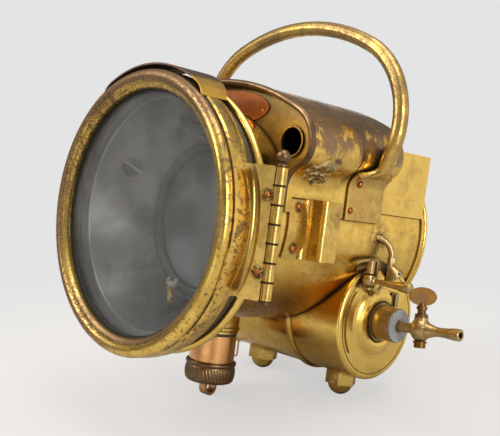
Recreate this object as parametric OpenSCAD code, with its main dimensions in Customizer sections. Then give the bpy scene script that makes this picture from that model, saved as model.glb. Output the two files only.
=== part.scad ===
// Brass acetylene headlamp, in millimetres.
// The lamp is drawn on its own axes: X to the right as seen from the front, Y to the rear, Z up,
// with the origin at the middle of the door's front. placed() then leans it back onto its feet.

/* [Door] */
// Outer radius of the door ring
door_r = 100; // [98:0.5:102]
// Radius of the rolled front of the door ring
roll_r = 4.8; // [4.4:0.1:5]
// Depth of the door ring from front to back
door_depth = 27; // [25:0.5:28]
// Radius of the flat glass
glass_r = 91.5; // [90:0.5:92]
// Thickness of the glass
glass_t = 3; // [2:0.5:3.5]

/* [Body] */
// Thickness of the brass sheet
sheet = 1.2; // [1:0.1:1.4]
// Outer radius of the drum
drum_r = 78; // [77:0.5:78.5]
// Height of the drum's axis over the door's axis
drum_z = 5; // [4:0.5:6]
// Rear end of the drum, behind the door's front
drum_back = 243; // [240:1:246]
// Outer radius of the bead that the door shuts against
bead_r = 98; // [97:0.5:98.5]

/* [Canopy] */
// Half width of the canopy
canopy_half = 100; // [99.5:0.5:100.5]
// Height of the canopy's top over the door's axis
canopy_top = 105; // [104.5:0.5:105.5]
// Front edge of the canopy
canopy_front = 74; // [72:1:76]
// Rear edge of the canopy
canopy_back = 180; // [178:1:182]
// Lower edge of the canopy's flanges
flange_z = 14; // [12:0.5:16]
// Radius of the vent holes
vent_r = 9.8; // [8:0.1:10.2]

/* [Handle] */
// Distance of the hoop from the door's front
handle_y = 154; // [150:1:158]
// Height of the hoop's centre line at its top
handle_top = 163; // [160:1:166]
// Diameter of the hoop's tube
tube_d = 11.5; // [10:0.5:12]

/* [Fork sockets] */
// Middle of the sockets behind the door's front
socket_y = 111.5; // [110:0.5:113]
// Width of the raised part of the sockets
socket_w = 19.2; // [18:0.2:21]
// Lower edge of the sockets
socket_low = -18; // [-20:1:-16]
// Upper edge of the sockets
socket_high = 24.5; // [22:0.5:26]
// Outer face of the sockets from the lamp's middle
socket_x = 93; // [92:0.5:94]

/* [Hinge] */
// Hinge axis to the right of the lamp's middle
hinge_x = 111; // [110.5:0.5:112]
// Hinge axis behind the door's front
hinge_y = 36.3; // [36:0.1:37]
// Length of the barrel
hinge_len = 84; // [80:1:86]
// Outer radius of the barrel
barrel_r = 4; // [3.8:0.1:4.2]

/* [Generator] */
// Outer radius of the crosswise generator
gen_r = 46.5; // [46:0.5:47]
// Generator axis behind the door's front
gen_y = 200.6; // [199:0.1:202]
// Generator axis below the door's axis
gen_z = -64; // [-65:0.5:-63]
// Right end of the generator's shell
gen_right = 72; // [71:0.5:73]
// Left end of the generator's shell
gen_left = -74; // [-76:0.5:-72]
// Place of the bead round the shell
gen_bead_x = 22.6; // [18:0.2:26]
// Distance of each foot from the lamp's middle
foot_x = 46; // [44:0.5:48]
// Upward slope of the gas tap
tap_rise = 4.5; // [0:0.5:5]

/* [Filter] */
// Filter axis, sideways
filter_x = -26.2; // [-28:0.1:-24]
// Filter axis behind the door's front
filter_y = 121.3; // [118:0.1:124]
// Radius of the copper tube
filter_r = 18.3; // [17.5:0.1:18.6]

/* [Stance] */
// Angle by which the lamp leans back on its feet
lean = 10; // [9:0.5:11]

/* [Hidden] */
$fn = 96;

brass = "#b8963f";
aged_brass = "#8a6a42";
copper = "#c26a3d";
gap = 0.05;
big = 400;
drum_in = drum_r - sheet;
drum_front = 57;
spigot_r = 94;
roll_y = 8.9;
mouth_y = 43;
// Canopy outline: a flat crown, two shoulders, two lobes and two hollow necks.
// Each profile gives the half width, the height of the lobe and the radius of the neck.
crown_r = 185;
lobe_r = 14;
front_profile = [canopy_half, 58.7, 17.2];
rear_profile = [canopy_half - 5, 61.6, 14];
// The flanks draw in between these two distances
draw_in = [122, 138];
flange_x = drum_r + 1.25;
// The foot of the handle lies on the canopy over this length
strap_t = 1.9;
strap_y = [138, 180];
socket_t = 1.5;
pin_r = 2.2;
knuckle = hinge_len / 7;
hinge_low = -hinge_len / 2 - 0.6;
gen_in = gen_r - 1.3;
cap_face = gen_right + 2.75;
tap_x = 116;
boss_z = gen_z + 0.8;
plug_r = 4;
// The key is drawn half open, facing forward and to the right
key_turn = 45;
nozzle_r = 4.5;
pipe_start = [77.6, 185.5, 2.8];
pipe_turn = 45;
pipe_bend = 14;
pipe_r = 2.5;
pipe_run = -2.5;
pipe_end = [pipe_start[0] + (pipe_run + pipe_bend) * cos(pipe_turn),
    pipe_start[1] + (pipe_run + pipe_bend) * sin(pipe_turn), pipe_start[2] - pipe_bend];
foot_ball = 10.2;
foot_z = gen_z - 54.8;
// Lowest point of the feet after leaning back
floor_z = foot_z * cos(lean) - gen_y * sin(lean) - foot_ball;
loop_r = 6.3;
loop_w = 7.4;
// The loop's middle is set so that its lowest edge meets the same floor
loop_z = (floor_z + loop_r + filter_y * sin(lean)) / cos(lean);
// Middle of the leaned lamp's bounding box, seen from above
centre_x = 18.93;
centre_y = 121.9;

// Sets the lamp on its feet, with the origin under its middle.
module placed() {
    translate([-centre_x, -centre_y, -floor_z]) rotate([-lean, 0, 0]) children();
}

// Turns a half profile, radius against distance to the rear, round an axis along Y.
module turned_y(z = 0) {
    translate([0, 0, z]) rotate([-90, 0, 0]) rotate_extrude($fn = 128) children();
}

// Turns a half profile, radius against distance to the right, round an axis along X.
module turned_x(y, z) {
    translate([0, y, z]) rotate([0, 90, 0]) rotate_extrude() children();
}

// A wall between two radii and two distances, for a turned profile.
module wall(r_in, r_out, from, to) {
    translate([r_in, from]) square([r_out - r_in, to - from]);
}

// A straight bar along Y with the profile drawn in X and Z.
module along_y(from, to) {
    translate([0, to, 0]) rotate([90, 0, 0]) linear_extrude(to - from) children();
}

module rod_y(r, from, to) {
    translate([0, from, 0]) rotate([-90, 0, 0]) cylinder(r = r, h = to - from);
}

module rod_x(r, from, to) {
    translate([from, 0, 0]) rotate([0, 90, 0]) cylinder(r = r, h = to - from);
}

module both_sides() {
    children();
    mirror([1, 0, 0]) children();
}

// Puts something on the drum's side at distance y and height z, with its own +Z outward.
module on_drum(y, z) {
    translate([0, y, drum_z]) rotate([0, -asin((z - drum_z) / drum_r), 0])
        translate([drum_r, 0, 0]) rotate([0, 90, 0]) children();
}

// A domed rivet head on the plane z = 0, with a short shank below it.
module rivet(r = 2.7, shank = 0) {
    intersection() {
        translate([0, 0, -0.8]) sphere(r = r, $fn = 32);
        cylinder(r = r, h = r);
    }
    translate([0, 0, -shank]) cylinder(r = r * 0.6, h = shank + 0.1, $fn = 32);
}

module generator_space(extra = gap) {
    translate([0, gen_y, gen_z]) rod_x(gen_r + extra, -130, 130);
}

// What the generator takes from the drum and from its rear cover.
module generator_seat() {
    generator_space();
    translate([0, gen_y, gen_z]) rod_x(gen_r + 1.2, -90, -70);
    turned_x(gen_y, gen_z) translate([gen_r, gen_bead_x]) circle(r = 2.45, $fn = 48);
}

function back_order(list) = [for (i = [len(list) - 1 : -1 : 0]) list[i]];

function arc_points(c, r, from, to, n) = [for (i = [0 : n]) let (a = from + (to - from) * i / n)
    [c[0] + r * cos(a), c[1] + r * sin(a)]];

// Middle of a profile's neck, and the direction in which its lobe meets the neck.
function neck_of(p) = let (reach = flange_x + p[2] - p[0] + lobe_r)
    [flange_x + p[2], p[1] - sqrt(pow(lobe_r + p[2], 2) - reach * reach)];
function neck_turn(p) = let (n = neck_of(p)) atan2(n[1] - p[1], n[0] - p[0] + lobe_r);

// Right half of the canopy's outline from its crown down to its flange, t inside its outer face.
function half_outline(p, t, low) = let (w = p[0], z = p[1], base = canopy_top - crown_r,
    r = (crown_r * crown_r - w * w - pow(z - base, 2)) / (2 * (crown_r - w)), top = atan2(z - base, w - r),
    n = neck_of(p), turn = neck_turn(p))
    concat(arc_points([0, base], crown_r - t, 90, top + (90 - top) / 18, 17),
        arc_points([w - r, z], r - t, top, top / 13, 12),
        arc_points([w - lobe_r, z], lobe_r - t, 0, turn * 11 / 12, 11),
        arc_points(n, -p[2] - t, turn, 0, 12), [[flange_x - t, low]]);

// The same outline from the left flange over the crown to the right flange.
function span(p, t, low = flange_z) = let (h = half_outline(p, t, low))
    concat([for (i = [len(h) - 1 : -1 : 1]) [-h[i][0], h[i][1]]], h);

// Section through the canopy's sheet.
function sheet_ring(p) = concat(span(p, 0), back_order(span(p, sheet)));

// Triangles of a skin over equal rings of n points: half of each ring lies outside, half returns inside.
// Each end is closed by a strip between the two halves.
function skin(count, n, flip) = let (last = (count - 1) * n,
    sides = [for (r = [0 : count - 2], k = [0 : n - 1]) let (k2 = (k + 1) % n)
        [r * n + k, r * n + k2, (r + 1) * n + k2, (r + 1) * n + k]],
    start = [for (k = [0 : n / 2 - 2]) [n - 1 - k, n - 2 - k, k + 1, k]],
    end = [for (q = start) [for (i = back_order(q)) last + i]])
    [for (q = concat(sides, start, end), part = [[q[0], q[1], q[2]], [q[0], q[2], q[3]]])
        flip ? back_order(part) : part];

module lamp_drum() color(brass) placed() difference() {
    turned_y(drum_z) wall(drum_in, drum_r, drum_front, drum_back);
    generator_seat();
    translate(pipe_start - [0, 0, 0.3]) rotate([0, 90, pipe_turn])
        cylinder(r = pipe_r + 0.7, h = 30, center = true);
    // Flue under the canopy
    translate([-30, 95, 60]) cube([60, 55, 40]);
    // Way through for the filter's neck
    translate([filter_x, filter_y, -100]) cylinder(r = 6, h = 60);
    // Way through for the filler
    translate([0, 212, 60]) cylinder(r = 9, h = 40);
}

// Hollow bead that the door shuts against, and the spigot that it fits over.
module front_rim() color(brass) placed() turned_y() {
    difference() {
        translate([bead_r - 3.4, mouth_y - 2]) circle(r = 3.4, $fn = 48);
        translate([bead_r - 3.4, mouth_y - 2]) circle(r = 2.2, $fn = 48);
        wall(0, spigot_r - 0.6, 0, 60);
    }
    wall(spigot_r - sheet, spigot_r, 23, mouth_y + 0.6);
    wall(spigot_r - 2.4, spigot_r, 22, 23.2);
}

// Space from the bead to the drum: its two ends lie on different axes.
module flare_space(inset, extra) {
    hull() {
        rod_y(bead_r - 3 - inset, mouth_y + 1 - extra, mouth_y + 2);
        translate([0, 0, drum_z]) rod_y(drum_r + sheet - inset, drum_front, drum_front + 4 + extra);
    }
}

module rim_flare() color(brass) placed() difference() {
    flare_space(0, 0);
    flare_space(sheet - gap, 0.4);
}

module rear_cover() color(brass) placed() difference() {
    turned_y(drum_z) {
        wall(drum_r + gap, drum_r + 1.3, drum_back - 4.5, drum_back + 1);
        difference() {
            translate([drum_r + 0.6, drum_back + 0.6]) circle(r = 2, $fn = 48);
            translate([drum_r + 0.6, drum_back + 0.6]) circle(r = 0.9, $fn = 48);
            wall(0, drum_r + gap, 0, drum_back);
        }
        // Pressed plate with a step and a shallow dome
        polygon([[0, drum_back + 8.4], [22, drum_back + 7.4], [44, drum_back + 4.6], [58, drum_back + 1.8],
            [60, drum_back + 0.4], [drum_r, drum_back], [drum_r, drum_back + 1.2], [61, drum_back + 1.6],
            [59, drum_back + 3], [45, drum_back + 5.8], [22.5, drum_back + 8.6], [0, drum_back + 9.6]]);
    }
    generator_seat();
}

// Sheet hood over the drum: its flanks draw in ahead of the handle's foot.
module canopy() color(aged_brass) placed() difference() {
    steps = 4;
    rings = [for (i = [0 : steps]) let (f = i / steps, e = f * f * (3 - 2 * f),
        y = draw_in[0] + (draw_in[1] - draw_in[0]) * f)
        [for (q = sheet_ring(front_profile + e * (rear_profile - front_profile))) [q[0], y, q[1]]]];
    union() {
        along_y(canopy_front + 1.95, draw_in[0]) polygon(sheet_ring(front_profile));
        polyhedron(points = [for (r = rings, q = r) q], faces = skin(steps + 1, len(rings[0]), true));
        along_y(draw_in[1], canopy_back) polygon(sheet_ring(rear_profile));
    }
    // Cut away where the fork sockets sit on the drum
    translate([-big / 2, socket_y - 30.15, 0]) cube([big, 51.7, socket_high + gap]);
}

// Wired edge rolled round the front of the canopy.
module canopy_lip() color(aged_brass) placed() difference() {
    r = 2.3;
    sides = 12;
    outer = span(front_profile, 1.3 - r);
    inner = span(front_profile, 1.3 + r);
    rings = [for (i = [0 : len(outer) - 1])
        let (mid = (outer[i] + inner[i]) / 2, out = (outer[i] - inner[i]) / 2)
        [for (k = [0 : sides - 1]) let (a = k * 360 / sides)
            [mid[0] + out[0] * cos(a), canopy_front - 0.4 + r * sin(a), mid[1] + out[1] * cos(a)]]];
    polyhedron(points = [for (q = rings, p = q) p], faces = skin(len(rings), sides, false));
    translate([0, 0, drum_z]) rod_y(drum_r + gap, 50, 90);
}

// The space under the canopy and outside the drum.
module under_canopy(profile, low) {
    difference() {
        polygon(span(profile, sheet, low));
        translate([0, drum_z]) circle(r = drum_r, $fn = 128);
    }
}

module vent_panel() color(brass) placed() {
    along_y(canopy_front + 6, canopy_front + 6 + sheet) difference() {
        under_canopy(front_profile, socket_high + 0.1);
        for (s = [-1, 1]) translate([s * 74.3, 62.2]) circle(r = vent_r);
    }
    // Turned eyelets round the vent holes
    for (s = [-1, 1]) translate([s * 74.3, 0, 62.2]) turned_y()
        wall(vent_r, vent_r + 1.2, canopy_front + 4.4, canopy_front + 6 + sheet);
}

module back_panel() color(brass) placed()
    along_y(canopy_back - 1.5 - sheet, canopy_back - 1.5) under_canopy(rear_profile, 22);

module ellipse_2d(a, b, n = 72) {
    polygon([for (i = [0 : n - 1]) [a * cos(i * 360 / n), b * sin(i * 360 / n)]]);
}

module name_plate() color(copper) placed() {
    along_y(canopy_front + 5, canopy_front + 6) difference() {
        translate([0, 85.5]) ellipse_2d(47.8, 13);
        translate([0, drum_z]) circle(r = drum_r + 0.6, $fn = 128);
    }
    for (s = [-1, 1]) translate([s * 42.2, canopy_front + 5, 83.4]) rotate([90, 0, 0]) rivet(2.2);
}

// Flat-sided shroud: each corner stands beside the drum and closes over it.
module rear_shroud() color(brass) placed() both_sides() {
    low = 21.3;
    high = 72;
    in_x = drum_r - 1.4;
    out_x = drum_r + 0.8;
    on_drum_r = drum_r + 0.15;
    first = asin((low - drum_z) / on_drum_r);
    last = asin((high - drum_z) / on_drum_r);
    steps = 18;
    arc = [for (i = [0 : steps]) let (a = first + (last - first) * i / steps)
        [on_drum_r * cos(a), drum_z + on_drum_r * sin(a)]];
    along_y(canopy_back, drum_back - 4.8) polygon([[in_x, low], [in_x + sheet, low], [out_x, high],
        [arc[steps][0], high], [arc[steps][0] + 1.4, high - sheet], [out_x - sheet, high - sheet]]);
    along_y(drum_back - 4.8 - sheet, drum_back - 4.8) polygon(concat(arc, [[out_x, high],
        [in_x + sheet, low]]));
}

module filler_neck() color(brass) placed() difference() {
    translate([0, 212, drum_z]) {
        cylinder(r = 10, h = drum_r + 6);
        cylinder(r = 15, h = drum_r + 1.6);
    }
    translate([0, 0, drum_z]) rod_y(drum_r + gap, 180, 240);
    translate([0, 212, 0]) cylinder(r = 8, h = 200);
}

module filler_cap() color(brass) placed() translate([0, 212, drum_z + drum_r]) difference() {
    union() {
        translate([0, 0, 2]) cylinder(r = 12.5, h = 8);
        translate([0, 0, 10]) cylinder(r1 = 11, r2 = 6, h = 2.4);
        translate([-9, -1.5, 10]) cube([18, 3, 6]);
    }
    translate([0, 0, -1]) cylinder(r = 10 + gap, h = 8);
    for (i = [0 : 17]) rotate(i * 20) translate([13.4, 0, 0]) cylinder(r = 1.6, h = 12, $fn = 16);
}

// Centre line of one half of the hoop, from its top down to its foot: [x, z, heading, opened, width, bead].
// The tube comes down on the canopy's lobe, opens out and follows the neck and the flange as a flat foot.
hoop_top_r = 160;
hoop_side_r = 65;
hoop_turn = 26;
hoop_side = [(hoop_top_r - hoop_side_r) * sin(hoop_turn),
    handle_top - hoop_top_r + (hoop_top_r - hoop_side_r) * cos(hoop_turn)];
tube_r = tube_d / 2;
// Height of the tube's centre line over the sheet where it touches it
lift = tube_r + gap;
rear_lobe = [rear_profile[0] - lobe_r, rear_profile[1]];
rear_neck = neck_of(rear_profile);
rear_turn = neck_turn(rear_profile);
function on_arc(c, r, a) = [c[0] + r * cos(a), c[1] + r * sin(a), a];
hoop_path = concat(
    [for (a = [90 : -4.5 : 90 - hoop_turn + 1])
        concat(on_arc([0, handle_top - hoop_top_r], hoop_top_r, a), [0, 0, 1])],
    [for (a = [90 - hoop_turn : -6 : -21]) concat(on_arc(hoop_side, hoop_side_r, a), [0, 0, 1])],
    [for (i = [0 : 5]) let (f = (i + 1) / 7)
        concat(on_arc(rear_lobe, lobe_r + gap + lift, -28 + (rear_turn + 28) * i / 5), [f, f, 1])],
    [for (i = [1 : 7]) let (h = rear_turn * (1 - i / 7), r = rear_profile[2] - gap - lift)
        [rear_neck[0] - r * cos(h), rear_neck[1] - r * sin(h), h, 1, 1, max(0, 1 - i / 5)]],
    [for (z = [rear_neck[1] - 7, flange_z + 4, flange_z - 0.5]) [flange_x + gap + lift, z, 0, 1, 1, 0]]);
// Points of the opened foot from its front to its rear edge: place, height and height of the roll
foot_form = [[0, 0.7, 0.5], [0.035, 1, 1], [0.085, 1, 1.05], [0.14, 1, 0.6], [0.22, 1, 0.1], [0.34, 1, 0],
    [0.5, 1, 0], [0.68, 1, 0], [0.86, 1, 0], [1, 0.8, 0]];
hoop_sides = 2 * len(foot_form);
function eased(f) = f * f * (3 - 2 * f);
function hoop_ring(i) = let (p = hoop_path[i], wide = eased(p[4]), full = strap_y[1] - strap_y[0])
    [for (k = [0 : hoop_sides - 1]) let (outside = k < hoop_sides / 2,
        form = foot_form[outside ? k : hoop_sides - 1 - k], a = (k + 0.5) * 360 / hoop_sides - 90,
        flat = pow(eased(p[3]), 1 - 0.6 * form[0]),
        height = outside ? strap_t * form[1] + 2.2 * form[2] * p[5] : 0,
        out = (1 - flat) * tube_r * cos(a) + flat * (height - lift),
        y = handle_y + (1 - wide) * tube_r * sin(a) + wide * (strap_y[0] - handle_y + full * form[0]))
        [p[0] + out * cos(p[2]), y, p[1] + out * sin(p[2])]];
function flip_x(ring) = [for (p = ring) [-p[0], p[1], p[2]]];

module handle() color(brass) placed() {
    last = len(hoop_path) - 1;
    rings = concat([for (i = [last : -1 : 1]) flip_x(hoop_ring(i))], [for (i = [0 : last]) hoop_ring(i)]);
    polyhedron(points = [for (r = rings, p = r) p], faces = skin(len(rings), hoop_sides, false));
}

module handle_rivets() color(copper) placed() both_sides() {
    translate([flange_x + gap + strap_t + 0.05, 142.4, 20.5]) rotate([0, 90, 0]) rivet();
    translate([rear_neck[0], 148.6, rear_neck[1]]) rotate([0, -160, 0])
        translate([rear_profile[2] - gap - strap_t - 0.35, 0, 0]) rotate([0, -90, 0]) rivet();
}

// Hat section in plan: flanges on the drum, raised passage between them.
module fork_sockets() color(brass) placed() both_sides() difference() {
    half = socket_w / 2;
    corner = 3.6;
    inside = half - socket_t;
    outline = concat([[60, half + 5]], arc_points([82.3, half + 5], 5, 180, 270, 8),
        arc_points([socket_x - corner, half - corner], corner, 90, 0, 8));
    passage = concat([[drum_r + 1.6, inside]],
        arc_points([socket_x - corner, half - corner], corner - socket_t, 90, 0, 8));
    union() {
        intersection() {
            turned_y(drum_z) wall(drum_r + gap, drum_r + gap + socket_t, socket_y - 30.1, socket_y + 21.5);
            translate([0, 0, socket_low]) cube([big, big, socket_high - socket_low]);
        }
        translate([0, socket_y, socket_low]) linear_extrude(socket_high - socket_low)
            polygon(concat([for (p = outline) [p[0], -p[1]]], back_order(outline)));
    }
    translate([0, socket_y, socket_low - 1]) linear_extrude(socket_high - socket_low + 2)
        polygon(concat([for (p = passage) [p[0], -p[1]]], back_order(passage)));
    translate([0, 0, drum_z]) rod_y(drum_r + gap, 60, 200);
}

module socket_rivets() color(copper) placed() both_sides() for (z = [18.4, -10.8])
    on_drum(socket_y - 21.5, z) translate([0, 0, gap + socket_t]) rivet();

// Space taken by the bead, the flared rim and the drum, for what is fixed to them.
module rim_space() {
    flare_space(0, 0);
    rod_y(bead_r + gap, 0, mouth_y + 1.6);
    translate([0, 0, drum_z]) rod_y(drum_r + gap, 50, 90);
}

// Fixed leaf: a plate from the barrel to the flared rim, and five of the knuckles.
module hinge_body_leaf() color(brass) placed() difference() {
    union() {
        translate([0, 0, hinge_low]) linear_extrude(hinge_len)
            polygon([[hinge_x + 1, hinge_y + 3.8], [hinge_x, hinge_y + 4], [73, 56.6], [72.2, 54.6],
                [hinge_x - 3, hinge_y + 1.6]]);
        for (i = [0, 2, 3, 4, 6]) translate([hinge_x, hinge_y, hinge_low + i * knuckle + 0.15])
            cylinder(r = barrel_r, h = knuckle - 0.3, $fn = 48);
    }
    rim_space();
    translate([hinge_x, hinge_y, -60]) cylinder(r = pin_r, h = 120, $fn = 48);
    // Room for the moving knuckles
    for (i = [1, 5]) translate([hinge_x, hinge_y, hinge_low + i * knuckle - 0.15])
        cylinder(r = barrel_r + 0.4, h = knuckle + 0.3, $fn = 48);
}

module hinge_pin() color(aged_brass) placed() translate([hinge_x, hinge_y, 0]) {
    translate([0, 0, hinge_low - 0.6]) cylinder(r = pin_r, h = hinge_len + 3, $fn = 48);
    translate([0, 0, hinge_low - 1.8]) cylinder(r = 3.2, h = 1.6, $fn = 48);
    translate([0, 0, hinge_low + hinge_len]) {
        cylinder(r = 3.4, h = 1.2, $fn = 48);
        translate([0, 0, 1.2]) cylinder(r1 = 3, r2 = 1.8, h = 1.6, $fn = 48);
        translate([0, 0, 6.3]) sphere(r = 4.3, $fn = 48);
    }
}

// Half profile of the door ring's skirt from the cup to its rear edge, drawn extra outside it.
function skirt_edge(extra) = [[door_r - 2 + extra, roll_y + 1.6], [door_r - 1.4 + extra, 12],
    [door_r - 0.4 + extra, 13], [door_r + 0.1 + extra, 15], [door_r + 0.1 + extra, 17],
    [door_r + extra, 21], [door_r - 0.5 + extra, 25],
    [door_r - 1.6 + extra, door_depth + 0.4 + extra],
    [door_r - 3.6, door_depth + 0.8 + extra]];

// Leaf on the rear edge of the door ring, with a hollow cove that follows the ring.
module hinge_door_leaf() color(brass) placed() difference() {
    cove = 3;
    cove_r = door_r + 3.1;
    union() {
        translate([0, 0, hinge_low]) linear_extrude(hinge_len) polygon([[84, 17.5],
            [hinge_x - 1, hinge_y - 4.2], [hinge_x - 3, hinge_y - 1.6], [104, 31.4], [84, 31.4]]);
        for (i = [1, 5]) {
            translate([hinge_x, hinge_y, hinge_low + i * knuckle + 0.15])
                cylinder(r = barrel_r, h = knuckle - 0.3, $fn = 48);
            translate([hinge_x - 4, hinge_y - 4, hinge_low + i * knuckle + 0.15])
                cube([4, 4, knuckle - 0.3]);
        }
    }
    turned_y() {
        translate([cove_r, 26.8]) circle(r = cove, $fn = 48);
        wall(cove_r - cove, cove_r + cove, 0, 26.8);
        polygon(concat([[0, 8.4]], skirt_edge(gap), [[95, door_depth + 0.85], [95, 40], [0, 40]]));
    }
    translate([hinge_x, hinge_y, -60]) cylinder(r = pin_r + gap, h = 120, $fn = 48);
    for (i = [0, 2, 3, 4, 6]) translate([hinge_x, hinge_y, hinge_low + i * knuckle - 0.15])
        cylinder(r = barrel_r + 0.4, h = knuckle + 0.3, $fn = 48);
}

module leaf_rivets() color(copper) placed() for (p = [[107.1, 23.1], [106.7, -25.2]])
    translate([p[0], 17.5 + (p[0] - 84) * 14.6 / 26, p[1]]) rotate([0, 90, -60.7])
        translate([0, 0, 0.02]) rivet(2.3);

module door_bezel() color(brass) placed() turned_y() {
    // Rolled front, open at the back between the cup and the skirt
    difference() {
        translate([door_r - roll_r, roll_y]) circle(r = roll_r, $fn = 96);
        translate([door_r - roll_r, roll_y]) circle(r = roll_r - sheet, $fn = 96);
        wall(glass_r + 2.2, door_r - 3.9, 11, 20);
    }
    // Lip from the roll back to the glass
    polygon([[91.4, 6.7], [89.6, 7.3], [88, 8.3], [86.8, 9.5], [86.5, 10.6], [86.5, 12.4], [87.7, 12.4],
        [87.7, 10.8], [88, 10], [89, 9], [90.3, 8.3], [91.4, 8.1]]);
    // Skirt that swells out behind a groove
    polygon(concat(skirt_edge(0), [[door_r - 3.6, door_depth - 0.4], [door_r - 2.2, door_depth - 0.9],
        [door_r - 1.6, 25], [door_r - 1.1, 21], [door_r - 1, 17], [door_r - 1.1, 15],
        [door_r - 1.7, 13.8], [door_r - 3, 12.4], [door_r - 3.4, roll_y + 1.6]]));
    // Cup that centres the glass
    wall(glass_r + 0.3, glass_r + 1.4, 11.6, 19.4);
    difference() {
        wall(glass_r - 0.4, glass_r + 1.4, 18.6, 20.6);
        wall(0, glass_r + 0.3, 18, 19.4);
    }
}

// Arched vent hood over the top of the door, with a leg and a short foot at each end.
function polar(r, angles) = [for (a = angles) [r * sin(a), r * cos(a)]];
function at_polar(list, side) = [for (q = list) [side * q[0] * sin(q[1]), q[0] * cos(q[1])]];
module door_hood() color(aged_brass) placed() difference() {
    out_r = door_r + 4.6;
    in_r = out_r - sheet;
    arch = [-29 : 1.25 : 29];
    back = [29 : -1.25 : -29];
    // Each end curls down onto the ring: [radius, angle] outside and inside
    outer_curl = [[out_r - 0.5, 31.5], [out_r - 1.7, 33.3], [out_r - 3.2, 34.6], [door_r + 0.1, 35.3]];
    inner_curl = [[door_r + 0.1, 34.5], [in_r - 2.5, 33.7], [in_r - 1.5, 32.6], [in_r - 0.4, 31]];
    along_y(9, 41) polygon(concat(back_order(at_polar(outer_curl, -1)), polar(out_r, arch),
        at_polar(outer_curl, 1), at_polar(inner_curl, 1), polar(in_r, back),
        back_order(at_polar(inner_curl, -1))));
    // Narrower towards its ends
    for (s = [-1, 1]) translate([0, 0, 50]) linear_extrude(80)
        polygon([[s * 24, 41.5], [s * 36, 39], [s * 50, 33.6], [s * 70, 25], [s * 70, 60], [s * 24, 60]]);
}

module front_glass() color("#88909a", 0.35) placed() turned_y()
    wall(0, glass_r, 13.6, 13.6 + glass_t);

module glass_gasket() color("#2b2b2b") placed() turned_y()
    wall(85.2, glass_r, 12.45, 13.6);

module glass_ring() color(brass) placed() turned_y()
    translate([glass_r - 1.2, 13.6 + glass_t + 1]) circle(r = 1, $fn = 32);

// Thumb tab on the side of the door away from the hinge.
module door_tab() color(brass) placed() difference() {
    union() {
        translate([-door_r - 5, 13, -9]) cube([8, 13, 18]);
        // Thumb knob
        translate([-door_r - 4.5, 17, 0]) rotate([0, -90, 0]) rotate_extrude($fn = 48)
            polygon([[0, 0], [2.2, 0], [2.2, 3.2], [3.4, 4.4], [3.5, 5.8], [2.9, 7.2], [1.6, 8], [0, 8.3]]);
    }
    rod_y(door_r + 0.2, -10, 60);
}

// Spring tongue on the rim that grips the tab.
module catch_spring() color(brass) placed() difference() {
    translate([0, 0, -7]) linear_extrude(14) polygon([[-door_r - 5.4, 22.4], [-door_r - 6.6, 22.4],
        [-door_r - 7.2, 26.5], [-door_r - 5.4, 41], [-bead_r - 0.8, 46.6], [-87.4, 55.2],
        [-80, 58], [-80, 50], [-bead_r + 1.4, 44.8], [-door_r - 4, 40.4], [-door_r - 5.9, 27]]);
    rim_space();
}

module reflector() color("#b9b4a4") placed() difference() {
    turned_y() {
        polygon([[82.6, 25], [83.9, 25], [84.2, 26.4], [59, 74.6], [57.4, 74.6], [57.4, 73.6],
            [58.2, 73.6], [82.8, 26.4]]);
        wall(82.7, spigot_r - sheet - gap, 25, 26.1);
    }
    // Slot for the burner arm
    translate([-4.5, 46, -80]) cube([9, 24, 30]);
    // Flue
    translate([0, 58, 40]) cylinder(r = 14, h = 60);
}

module round_mirror() color("#a7a79c") placed() turned_y() difference() {
    translate([0, -62]) circle(r = 150, $fn = 180);
    translate([0, -62]) circle(r = 147.5, $fn = 180);
    wall(-400, 0, -400, 400);
    wall(53, 400, -400, 400);
    wall(0, 400, -400, 60);
}

module mirror_ring() color("#3a3630") placed() turned_y() {
    wall(53.1, 57.2, 73, 84);
    difference() {
        translate([54.6, 74.6]) circle(r = 3.4, $fn = 48);
        wall(0, 53.1, 74, 90);
        wall(57.2, 90, 60, 90);
    }
}

module burner_arm() color(brass) placed() difference() {
    arm_r = 2.8;
    arm_z = -66;
    union() {
        translate([0, 52, arm_z + 7]) cylinder(r = arm_r, h = 6, $fn = 48);
        translate([0, 59, arm_z + 7]) rotate([0, 90, 0]) intersection() {
            rotate_extrude() translate([7, 0]) circle(r = arm_r, $fn = 48);
            translate([0, -20, -5]) cube(20);
        }
        translate([0, 0, arm_z]) rod_y(arm_r, 59, 158);
        translate([0, 52, -54.2]) cylinder(r = 4, h = 3.2, $fn = 6);
    }
    generator_space();
}

module burner_tips() color("#d8d0bd") placed() translate([0, 52, -51]) {
    cylinder(r = 3.2, h = 2.5, $fn = 32);
    translate([-5, -1.6, 1]) cube([10, 3.2, 2.2]);
    for (s = [-1, 1]) translate([s * 4.4, 0, 2]) cylinder(r = 1.5, h = 4.2, $fn = 24);
}

module generator_shell() color(brass) placed() turned_x(gen_y, gen_z) {
    wall(gen_in, gen_r, gen_left, gen_right);
    translate([gen_r, gen_bead_x]) circle(r = 2.4, $fn = 48);
    // Turned mouth at the charging end
    translate([gen_r - 0.4, gen_left + 1.4]) circle(r = 1.4, $fn = 32);
}

// Half profile of the raised ring round the cap's middle.
module cap_swell(extra = 0) {
    polygon([[0, cap_face - 1], [31.5, cap_face - 1], [30, cap_face + extra], [27, cap_face + 0.9 + extra],
        [25.4, cap_face + 2.2 + extra], [22.6, cap_face + 3.7 + extra], [19.6, cap_face + 4.1 + extra],
        [17, cap_face + 3.6 + extra], [15.6, cap_face + 2.6 + extra], [0, cap_face + 2.6 + extra]]);
}

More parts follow.
